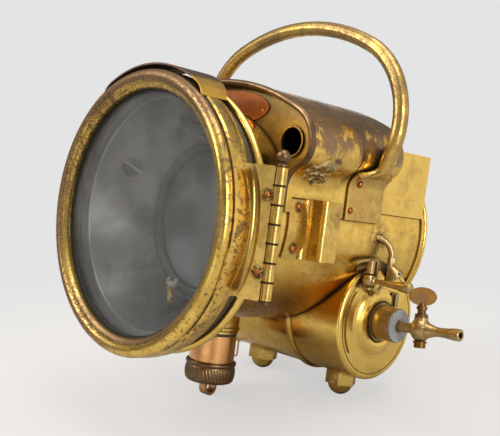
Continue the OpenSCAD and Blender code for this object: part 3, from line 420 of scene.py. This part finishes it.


# Fittings: grime, dark rings round the rivets and black joints between the hinge's knuckles.
def fittingStains(tree, at, out):
    z = split(tree, at)[2]
    rings = None
    for point in marks["rivets"]:
        ring = near(tree, at, point, 3.0, 5.6)
        rings = ring if rings is None else calc(tree, "MAXIMUM", rings, ring)
    rings = times(tree, rings, remap(tree, noise(tree, at, 0.5, 4.0, 0.65), 0.36, 0.55))
    grime = remap(tree, noise(tree, at, 0.11, 6.0, 0.7, 0.8), 0.56, 0.68)
    barrel = near(tree, at, marks["hinge"], 4.4, 5.2, (0, 0, 1))
    row = calc(tree, "PINGPONG", plus(tree, z, -marks["hingeLow"]), marks["knuckle"] / 2)
    joint = times(tree, remap(tree, row, 1.0, 0.45), barrel)
    return [
        (soft(tree, grime, 0.45), brownBrass, 0.15),
        (soft(tree, rings, 0.9), pitBlack, 0.25),
        (soft(tree, joint, 0.95), pitBlack, 0.3),
    ]


# Handle: grainy brown in places over its top.
def handleStains(tree, at, out):
    z = split(tree, at)[2]
    region = remap(tree, noise(tree, at, 0.025, 4.0, 0.6, 0.5), 0.40, 0.54)
    region = times(tree, region, remap(tree, z, 60.0, 95.0))
    return [
        (soft(tree, region, 0.45), (0.27, 0.18, 0.09), 0.15),
        (soft(tree, times(tree, region, out["Grain"]), 0.7), (0.15, 0.09, 0.045), 0.2),
    ]


# Door hood: a painted highlight in bright brass at its right end.
def hoodEndHighlight(tree, at, out):
    x = split(tree, at)[0]
    # Painted highlight: the right end turns bright brass.
    endHighlight = remap(tree, ragged(tree, at, x, 0.08, 12.0), 47.0, 55.0)
    return [(soft(tree, endHighlight, 0.8), deepBrass, 0.0)]


# Copper: dull blotches.
def copperStains(tree, at, out):
    dull = remap(tree, noise(tree, at, 0.12, 5.0, 0.65, 0.4), 0.46, 0.66)
    return [(soft(tree, dull, 0.6), (0.26, 0.085, 0.035), 0.15)]


# Reflector: clouded silver with a painted highlight along its rim, the dark port on its left and the bright
# wire across it.
def silverStains(tree, at, out):
    cloud = remap(tree, noise(tree, at, 0.035, 4.0, 0.55, 0.4), 0.42, 0.64)
    # Painted highlight: a pale line along the reflector's rim.
    rimGlint = remap(tree, radius(tree, at), marks["reflectorR"] - 0.8, marks["reflectorR"])
    port = near(tree, at, marks["port"], marks["portR"], marks["portR"] + 1.8)
    along = vectorMath(tree, "DOT_PRODUCT", vectorMath(tree, "SUBTRACT", at, marks["port"]), marks["wire"])
    wire = remap(tree, calc(tree, "ABSOLUTE", along), 1.2, 0.5)
    return [
        (soft(tree, cloud, 0.5), (0.13, 0.125, 0.115), 0.12),
        (soft(tree, rimGlint, 0.85), (0.78, 0.75, 0.68), 0.0),
        (soft(tree, port, 0.85), (0.04, 0.038, 0.036), 0.1),
        (soft(tree, times(tree, port, wire), 0.9), (0.75, 0.72, 0.66), 0.0),
    ]


# Each old metal has a bright, a deep and a tarnished tone, and its own values for the rest.
brass = oldMetal(
    "brass", brightBrass, deepBrass, brownBrass,
    patch=0.3, mottle=0.35, stains=rimStains)
brassDrum = oldMetal(
    "brassDrum", brightBrass, deepBrass, brownBrass,
    seed=15.0, patch=0.4, stains=drumStains)
brassShell = oldMetal(
    "brassShell", brightBrass, deepBrass, brownBrass,
    seed=52.0, patch=0.3, rough=0.16, stains=shellStains)
brassHandle = oldMetal(
    "brassHandle", (0.66, 0.43, 0.125), (0.42, 0.25, 0.06), brownBrass,
    seed=26.0, patch=0.3, rough=0.25, stains=handleStains)
brassDoor = oldMetal(
    "brassDoor", brightBrass, deepBrass, purpleBrown,
    seed=37.0, patch=0.5, specks=1.0, stains=doorStains)
brassCanopy = oldMetal(
    "brassCanopy", brightBrass, deepBrass, purpleBrown,
    seed=11.0, patch=0.4, stains=canopyStains)
brassPatch = oldMetal(
    "brassPatch", (0.80, 0.60, 0.27), (0.30, 0.18, 0.075), (0.07, 0.042, 0.025),
    seed=11.0, patch=1.0, specks=1.0, rough=0.26, bump=0.5)
brassPanel = oldMetal(
    "brassPanel", (0.30, 0.21, 0.08), (0.20, 0.13, 0.045), (0.10, 0.06, 0.03),
    seed=8.0, patch=0.6, rough=0.34)
brassSmall = oldMetal(
    "brassSmall", (0.74, 0.50, 0.14), (0.52, 0.31, 0.07), brownBrass,
    seed=5.0, patch=0.6, rough=0.22, stains=fittingStains)
brassTap = oldMetal(
    "brassTap", (0.52, 0.37, 0.16), (0.34, 0.21, 0.08), brownBrass,
    seed=45.0, patch=0.6, rough=0.32)
brassHood = oldMetal(
    "brassHood", (0.215, 0.13, 0.09), (0.13, 0.075, 0.05), (0.08, 0.046, 0.034),
    seed=64.0, patch=0.6, rough=0.34, stains=hoodEndHighlight)
brassRope = oldMetal(
    "brassRope", (0.27, 0.17, 0.085), (0.16, 0.09, 0.04), purpleBrown,
    seed=31.0, patch=0.6, rough=0.32)
# Dark brown for the canopy's rolled lip: its tarnish together with painted shade on its front.
brassLipShade = oldMetal(
    "brassLipShade", (0.20, 0.12, 0.06), (0.12, 0.068, 0.034), (0.08, 0.046, 0.03),
    seed=82.0, patch=0.5, rough=0.36)
brassBrown = oldMetal(
    "brassBrown", (0.26, 0.13, 0.022), (0.16, 0.07, 0.012), purpleBrown,
    seed=71.0, patch=0.8, rough=0.3)
copper = oldMetal(
    "copper", (0.45, 0.15, 0.05), (0.31, 0.095, 0.03), (0.17, 0.05, 0.025),
    seed=3.0, patch=0.3, specks=0.5, rough=0.26, stains=copperStains)
copperTube = oldMetal(
    "copperTube", (0.90, 0.49, 0.20), (0.74, 0.34, 0.12), (0.36, 0.17, 0.08),
    seed=9.0, patch=0.3, specks=0.4)
silver = oldMetal(
    "silver", (0.34, 0.32, 0.29), (0.27, 0.25, 0.23), (0.13, 0.12, 0.11),
    seed=21.0, patch=0.5, specks=0.2, rough=0.34, bump=0.08, stains=silverStains)
mirrorFace = oldMetal(
    "mirrorFace", (0.066, 0.07, 0.074), (0.045, 0.048, 0.052), (0.06, 0.06, 0.062),
    seed=2.0, patch=0.3, specks=0.1, rough=0.42, bump=0.04)
tinned = oldMetal(
    "tinned", (0.5, 0.48, 0.45), (0.38, 0.36, 0.33), (0.2, 0.17, 0.14),
    seed=4.0, rough=0.32)
rubber = plainGrain("rubber", (0.03, 0.03, 0.03), 0.6)
lead = plainGrain("lead", (0.44, 0.44, 0.43), 0.6, metallic=0.3, scale=0.8, bump=0.6)
darkRing = plainGrain("darkRing", (0.05, 0.045, 0.04), 0.4, metallic=0.5)
steatite = plainGrain("steatite", (0.72, 0.66, 0.55), 0.6)


# Old glass: a little haze, and a thin film of dust that thickens towards the top as a painted reflection.
def makeGlass():
    material, tree, shader, at = startMaterial("glass")
    haze = noise(tree, at, 0.02, 4.0, 0.6)
    setInputs(shader, {"IOR": 1.5, "Transmission Weight": 1.0, "Base Color": (0.90, 0.92, 0.93, 1)})
    tree.links.new(remap(tree, haze, 0.35, 0.7, 0.0, 0.03), shader.inputs["Roughness"])
    film = addNode(tree, "ShaderNodeBsdfDiffuse", {"Color": (0.62, 0.60, 0.55, 1)})
    mix = tree.nodes.new("ShaderNodeMixShader")
    z = split(tree, at)[2]
    # Painted reflection: the pale film thickens upwards, so the glass is lighter from the middle up.
    reflectionRise = remap(tree, z, -80.0, 10.0, 0.35, 1.5)
    tree.links.new(times(tree, remap(tree, haze, 0.3, 0.7, 0.04, 0.10), reflectionRise), mix.inputs[0])
    tree.links.new(shader.outputs[0], mix.inputs[1])
    tree.links.new(film.outputs[0], mix.inputs[2])
    output = next(node for node in tree.nodes if node.bl_idname == "ShaderNodeOutputMaterial")
    tree.links.new(mix.outputs[0], output.inputs[0])
    return material


glass = makeGlass()

finishes = {
    brass: ["front_rim", "rim_flare", "rear_cover", "back_panel", "rear_shroud", "filler_neck",
            "generator_cap", "carbide_door", "catch_spring"],
    brassDrum: ["lamp_drum"],
    brassShell: ["generator_shell"],
    brassHandle: ["handle"],
    brassDoor: ["door_bezel", "door_tab"],
    brassCanopy: ["canopy"],
    brassPanel: ["vent_panel"],
    brassSmall: ["fork_sockets", "hinge_body_leaf", "hinge_door_leaf", "feet", "filter_socket",
                 "staple", "burner_arm"],
    brassTap: ["gas_tap_body", "valve_body", "valve_nut", "gas_pipe", "cap_boss", "cap_lug", "yoke",
               "clamp_lever"],
    brassHood: ["door_hood"],
    brassRope: ["filter_cap"],
    brassLipShade: ["canopy_lip", "hinge_pin"],
    brassBrown: ["filler_cap", "tap_plug", "tap_nut"],
    copper: ["name_plate", "handle_rivets", "socket_rivets", "leaf_rivets"],
    copperTube: ["filter_tube", "filter_loop"],
    rubber: ["glass_gasket", "end_seal", "filter_seal"],
    lead: ["lead_washer"],
    silver: ["reflector"],
    darkRing: ["mirror_ring", "glass_ring"],
    mirrorFace: ["round_mirror"],
    tinned: ["carbide_basket"],
    steatite: ["burner_tips"],
    glass: ["front_glass"],
}
for material, names in finishes.items():
    for name in names:
        mesh = nodes[name].data
        mesh.materials.clear()
        mesh.materials.append(material)
print("materials", len(finishes))


def newPiece(name, form, material, body):
    mesh = bpy.data.meshes.new(name)
    bmesh.ops.recalc_face_normals(form, faces=form.faces)
    form.to_mesh(mesh)
    form.free()
    for face in mesh.polygons:
        face.use_smooth = True
    mesh.materials.append(material)
    piece = bpy.data.objects.new(name, mesh)
    bpy.context.collection.objects.link(piece)
    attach(piece, body)
    return piece


# Skin over rings of points. Each ring closes on itself, and so does the row of rings when it is closed.
def skinRings(form, rings, closed):
    rows = [[form.verts.new(p) for p in ring] for ring in rings]
    for i in range(len(rows) if closed else len(rows) - 1):
        row, following = rows[i], rows[(i + 1) % len(rows)]
        for k in range(len(row)):
            k2 = (k + 1) % len(row)
            form.faces.new((row[k], row[k2], following[k2], following[k]))
    return rows


ropeCap = {
    "x": -26.2,
    "y": 121.3,
    "low": -131.4,
    "top": -114.0,
    "inner": 18.35,
    "floor": -122.0,
    "bandLow": 3.3,
    "bandHeight": 9.6,
    "bandR": 20.1,
    "swell": 0.55,
    "parts": 16,
    "strands": 46,
    "twist": 0.62,
    "depth": 0.84,
    "steps": 276,
}


# Filter cap: a rope knurl wound round it, between two plain beads.
def makeRopeCap():
    d = ropeCap
    low, top, inner, floor, parts = d["low"], d["top"], d["inner"], d["floor"], d["parts"]
    base = [(0.2, low), (16.6, low), (18.2, low + 0.5), (19.3, low + 1.5), (20.0, low + 2.8)]
    band = [(d["bandR"] + d["swell"] * math.sin(math.pi * i / parts),
             low + d["bandLow"] + d["bandHeight"] * i / parts) for i in range(parts + 1)]
    neck = [(19.8, top - 4.2), (19.7, top - 3.6), (20.3, top - 3.1), (20.8, top - 2.2), (20.7, top - 1.0),
            (20.1, top - 0.2), (inner + 0.4, top), (inner, top - 0.3), (inner, floor + 0.6),
            (inner - 0.6, floor), (0.2, floor)]
    rings = []
    for step in range(d["steps"]):
        angle = 2 * math.pi * step / d["steps"]
        rope = []
        for i, (r, z) in enumerate(band):
            fade = math.sin(math.pi * i / parts) ** 0.5 if 0 < i < parts else 0.0
            wave = abs(math.sin(0.5 * (d["strands"] * angle + d["twist"] * (z - low))))
            rope.append((r - d["depth"] * fade * (1 - wave) ** 1.5, z))
        rings.append([lamp(d["x"] + r * math.cos(angle), d["y"] + r * math.sin(angle), z)
                      for r, z in base + rope + neck])
    form = bmesh.new()
    skinRings(form, rings, closed=True)
    piece = newPiece("rope_cap", form, brassRope, "filter_end")
    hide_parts("filter_cap")


flankPatch = {
    "half": 100.0,
    "lobeZ": 58.7,
    "lobeR": 14.0,
    "neckR": 17.2,
    "flange": 79.25,
    "start": math.radians(-18),  # where the skin begins on the lobe
    "share": 0.45,  # how much of the way down is on the lobe
    "front": 82.0,
    "back": 116.0,
    "rows": 88,
    "columns": 72,
    "span": 34,  # length of the way down in the noise
    "middleF": 0.48,
    "middleG": 0.44,
    "spread": 0.48,
    "relief": 1.5,
    "sink": 0.25,
    "under": 0.6,
}


# Point and outward direction on the canopy's right flank: f runs from the lobe's side down to the flange.
def flankPoint(f):
    d = flankPatch
    lobeX, lobeZ, lobeR, share = d["half"] - d["lobeR"], d["lobeZ"], d["lobeR"], d["share"]
    neckX = d["flange"] + d["neckR"]
    neckZ = lobeZ - math.sqrt((lobeR + d["neckR"]) ** 2 - (neckX - lobeX) ** 2)
    turn = math.atan2(neckZ - lobeZ, neckX - lobeX)
    if f < share:
        a = d["start"] + (turn - d["start"]) * f / share
        return (lobeX + lobeR * math.cos(a), lobeZ + lobeR * math.sin(a)), (math.cos(a), math.sin(a))
    a = turn * (1 - (f - share) / (1 - share) * 0.9)
    return (neckX - d["neckR"] * math.cos(a), neckZ - d["neckR"] * math.sin(a)), (math.cos(a), math.sin(a))


# Height of the crumpled skin at f down the flank and g along it; it sinks into the sheet at its edge.
def flankHeight(f, g, y):
    d = flankPatch
    spot = Vector((f * d["span"], y, 3.0))
    middle = math.hypot((f - d["middleF"]) / d["spread"], (g - d["middleG"]) / d["spread"])
    reach = middle + 0.34 * field.noise(spot * 0.16)
    cover = max(0.0, min(1.0, (1.0 - reach) / 0.4))
    cover = cover * cover * (3 - 2 * cover)
    folds = 1 - abs(field.noise(spot * 0.15 + Vector((7, 0, 0)))) * 2.6
    fine = field.noise(spot * 0.45) * 0.35 + field.noise(spot * 1.1) * 0.12
    return cover * d["relief"] * (0.28 + 0.55 * max(folds, 0.0) + fine) - d["sink"] * (1 - cover)


# Crumpled and soldered skin on the canopy's right flank, laid over the sheet.
def makeFlankPatch():
    d = flankPatch
    rings = []
    for i in range(d["rows"] + 1):
        f = i / d["rows"]
        (x, z), (nx, nz) = flankPoint(f)
        outer, inner = [], []
        for k in range(d["columns"] + 1):
            g = k / d["columns"]
            y = d["front"] + (d["back"] - d["front"]) * g
            height = flankHeight(f, g, y)
            outer.append(lamp(x + nx * height, y, z + nz * height))
            inner.append(lamp(x - nx * d["under"], y, z - nz * d["under"]))
        rings.append(outer + inner[::-1])
    form = bmesh.new()
    rows = skinRings(form, rings, closed=False)
    count = len(rows[0])
    for row in (rows[0], rows[-1]):
        for k in range(count // 2 - 1):
            form.faces.new((row[k], row[k + 1], row[count - 2 - k], row[count - 1 - k]))
    piece = newPiece("flank_patch", form, brassPatch, "lamp")


floorLook = {
    "radius": 3.0,
    "reflected": (0.50, 0.495, 0.485, 1),
    "shaded": (0.22, 0.20, 0.172, 1),
    "own": (0.555, 0.558, 0.56, 1),
    "fadeFrom": 0.18,
    "fadeTo": 0.60,
}


# Floor that fades into the backdrop. The camera sees most of its tone as its own, so the shadow stays light.
def makeFloor():
    d = floorLook
    mesh = bpy.data.meshes.new("floor")
    form = bmesh.new()
    bmesh.ops.create_circle(form, cap_ends=True, segments=96, radius=d["radius"])
    form.to_mesh(mesh)
    form.free()
    floor = bpy.data.objects.new("floor", mesh)
    bpy.context.collection.objects.link(floor)
    material = bpy.data.materials.new("floor")
    material.use_nodes = True
    tree = material.node_tree
    tree.nodes.clear()
    output = tree.nodes.new("ShaderNodeOutputMaterial")
    reflected = addNode(tree, "ShaderNodeBsdfDiffuse", {"Color": d["reflected"]})
    shaded = addNode(tree, "ShaderNodeBsdfDiffuse", {"Color": d["shaded"]})
    own = addNode(tree, "ShaderNodeEmission", {"Color": d["own"]})
    both = tree.nodes.new("ShaderNodeAddShader")
    tree.links.new(shaded.outputs[0], both.inputs[0])
    tree.links.new(own.outputs[0], both.inputs[1])
    seen = tree.nodes.new("ShaderNodeMixShader")
    path = tree.nodes.new("ShaderNodeLightPath")
    tree.links.new(path.outputs["Is Camera Ray"], seen.inputs[0])
    tree.links.new(reflected.outputs[0], seen.inputs[1])
    tree.links.new(both.outputs[0], seen.inputs[2])
    clear = tree.nodes.new("ShaderNodeBsdfTransparent")
    coords = tree.nodes.new("ShaderNodeTexCoord")
    away = vectorMath(tree, "LENGTH", coords.outputs["Object"])
    mix = tree.nodes.new("ShaderNodeMixShader")
    tree.links.new(remap(tree, away, d["fadeFrom"], d["fadeTo"]), mix.inputs[0])
    tree.links.new(seen.outputs[0], mix.inputs[1])
    tree.links.new(clear.outputs[0], mix.inputs[2])
    tree.links.new(mix.outputs[0], output.inputs[0])
    mesh.materials.append(material)


studio = {
    "walls": (0.16, 0.155, 0.15),
    "overhead": (0.75, 0.75, 0.75),
    "below": (0.62, 0.61, 0.60),
    "backdrop": (0.775, 0.775, 0.775, 1),
    "screen": (0.90, 0.875, 0.82),
    "screenSide": (0.72, 0.69, 0.0),
    "strip": (0.95, 0.93, 0.88),
    "stripSide": (0.25, -0.96, -0.13),
}


# A grey room over a white floor, paler overhead, with a broad screen behind the lamp on its right and a
# narrow strip before it, which the hinge's leaf reflects.
def makeWorld():
    d = studio
    world = bpy.data.worlds.new("studio")
    bpy.context.scene.world = world
    world.use_nodes = True
    tree = world.node_tree
    tree.nodes.clear()
    output = tree.nodes.new("ShaderNodeOutputWorld")
    toward = tree.nodes.new("ShaderNodeTexCoord").outputs["Generated"]
    up = split(tree, toward)[2]
    room = mixColour(tree, remap(tree, up, 0.45, 0.95), d["walls"], d["overhead"])
    room = mixColour(tree, remap(tree, up, 0.02, -0.10), room, d["below"])
    screen = remap(tree, vectorMath(tree, "DOT_PRODUCT", toward, d["screenSide"]), 0.55, 0.92)
    screen = times(tree, screen, remap(tree, up, -0.45, -0.2))
    room = mixColour(tree, screen, room, d["screen"])
    strip = remap(tree, vectorMath(tree, "DOT_PRODUCT", toward, d["stripSide"]), 0.88, 0.98)
    room = mixColour(tree, strip, room, d["strip"])
    light = tree.nodes.new("ShaderNodeBackground")
    tree.links.new(room, light.inputs["Color"])
    seen = addNode(tree, "ShaderNodeBackground", {"Color": d["backdrop"]})
    path = tree.nodes.new("ShaderNodeLightPath")
    mix = tree.nodes.new("ShaderNodeMixShader")
    tree.links.new(path.outputs["Is Camera Ray"], mix.inputs[0])
    tree.links.new(light.outputs[0], mix.inputs[1])
    tree.links.new(seen.outputs[0], mix.inputs[2])
    tree.links.new(mix.outputs[0], output.inputs[0])


# Soft area lights, all turned to the middle of the lamp.
lights = {
    "key": {"place": (-0.75, -1.15, 1.15), "width": 0.8, "height": 0.8, "power": 21},
    "top": {"place": (0.25, 0.15, 1.6), "width": 1.1, "height": 1.1, "power": 14},
    "side": {"place": (1.5, -0.35, 0.55), "width": 0.45, "height": 0.9, "power": 12},
}
lightTarget = Vector((0, 0, 0.12))


def makeLights():
    for name, d in lights.items():
        data = bpy.data.lights.new(name, "AREA")
        data.shape = "RECTANGLE"
        data.size, data.size_y = d["width"], d["height"]
        data.energy = d["power"]
        light = bpy.data.objects.new(name, data)
        light.location = d["place"]
        light.rotation_euler = (lightTarget - Vector(d["place"])).to_track_quat("-Z", "Y").to_euler()
        bpy.context.collection.objects.link(light)


# The photograph's viewpoint: the rows are the camera's right, up and backward directions.
view = {
    "lens": 57.564,
    "sensor": 36,
    "clip": 0.01,
    "place": (0.4401732, -0.4275697, 0.2332389),
    "turn": (
        (0.67850396, 0.73459635, 0.00076316),
        (-0.10196966, 0.0931546, 0.99041629),
        (0.7274851, -0.67207919, 0.13811226),
    ),
}


def makeCamera():
    camera = bpy.data.objects.new("camera", bpy.data.cameras.new("camera"))
    camera.data.lens = view["lens"]
    camera.data.sensor_width = view["sensor"]
    camera.data.clip_start = view["clip"]
    turn = Matrix(view["turn"]).transposed().to_4x4()
    camera.matrix_world = Matrix.Translation(view["place"]) @ turn
    bpy.context.collection.objects.link(camera)
    bpy.context.scene.camera = camera


makeRopeCap()
makeFlankPatch()
print("pieces")
makeFloor()
makeWorld()
makeLights()
makeCamera()
bpy.context.scene.view_settings.view_transform = "Standard"
print("studio")
